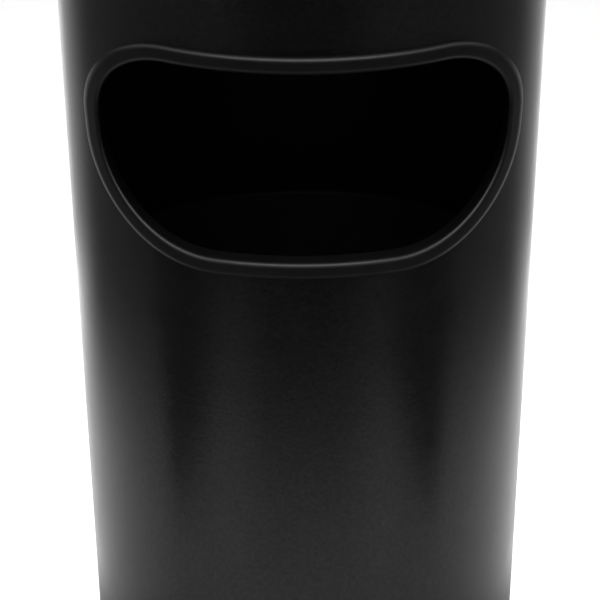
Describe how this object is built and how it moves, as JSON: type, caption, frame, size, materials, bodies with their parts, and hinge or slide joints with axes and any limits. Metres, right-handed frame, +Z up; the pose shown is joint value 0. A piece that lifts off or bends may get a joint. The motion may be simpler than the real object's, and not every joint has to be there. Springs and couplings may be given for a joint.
{
  "type": "ashtray bin",
  "caption": "Round freestanding ashtray bin: tapered shell with a wide front litter opening, lift-off ash head with stub grid, and a lift-out liner bucket with a bail handle.",
  "frame": {"origin": "on the floor at the centre of the foot ring", "axes": "+Z up along the axis of the round shell, the litter opening faces -Y, +X to the right of someone facing it"},
  "size_m": [0.309, 0.309, 0.645],
  "materials": {
    "black_powder_coat": "semi-gloss powder coat with a very fine grain",
    "black_rubber_trim": "smooth moulded, satin",
    "black_rubber_foot": "matt moulded",
    "grey_rubber": "matt",
    "zinc_plated_steel": "zinc plated, satin",
    "black_liner_enamel": "satin black enamel, scuffed inside",
    "bright_rivet": "bright",
    "steel_wire": "bright drawn",
    "black_plastic": "fine-textured moulding",
    "brushed_stainless": "brushed",
    "cast_stubber": "cast and machined on the ridges"
  },
  "bodies": {
    "casing": {"outer_shell": "black_powder_coat", "aperture_trim": "black_rubber_trim", "base_pan": "zinc_plated_steel", "base_rivets": "bright_rivet", "foot_ring": "black_rubber_foot", "liner_pads": "grey_rubber", "liner_guides": "zinc_plated_steel"},
    "liner_bucket": {"liner_wall": "black_liner_enamel", "liner_base": "black_liner_enamel", "handle_ear_right": "zinc_plated_steel", "handle_ear_left": "zinc_plated_steel", "ear_rivets_right": "bright_rivet", "ear_rivets_left": "bright_rivet"},
    "bail": {"bail_handle": "steel_wire"},
    "grip": {"handle_grip": "black_plastic"},
    "ash_head": {"head_collar": "black_powder_coat", "locating_ring": "zinc_plated_steel", "collar_gasket": "grey_rubber", "ash_bowl": "brushed_stainless"},
    "stub_grid_set": {"stub_grid": "brushed_stainless", "stubber_ring": "cast_stubber", "grid_knob": "black_plastic", "knob_stud": "steel_wire", "knob_nut": "steel_wire"}
  },
  "joints": [
    {"name": "liner_lift", "type": "slide", "parent": "casing", "child": "liner_bucket", "axis": [0, 0, 1], "range_m": [0, 0.65]},
    {"name": "handle_swing", "type": "hinge", "parent": "liner_bucket", "child": "bail", "pos_m": [0, 0, 0.37], "axis": [1, 0, 0], "range_deg": [0, 224]},
    {"name": "grip_spin", "type": "hinge", "parent": "bail", "child": "grip", "pos_m": [0, 0.11219, 0.32467], "axis": [1, 0, 0], "continuous": true},
    {"name": "head_lift", "type": "slide", "parent": "liner_bucket", "child": "ash_head", "axis": [0, 0, 1], "range_m": [0, 0.1]},
    {"name": "grid_lift", "type": "slide", "parent": "ash_head", "child": "stub_grid_set", "axis": [0, 0, 1], "range_m": [0, 0.06]}
  ]
}
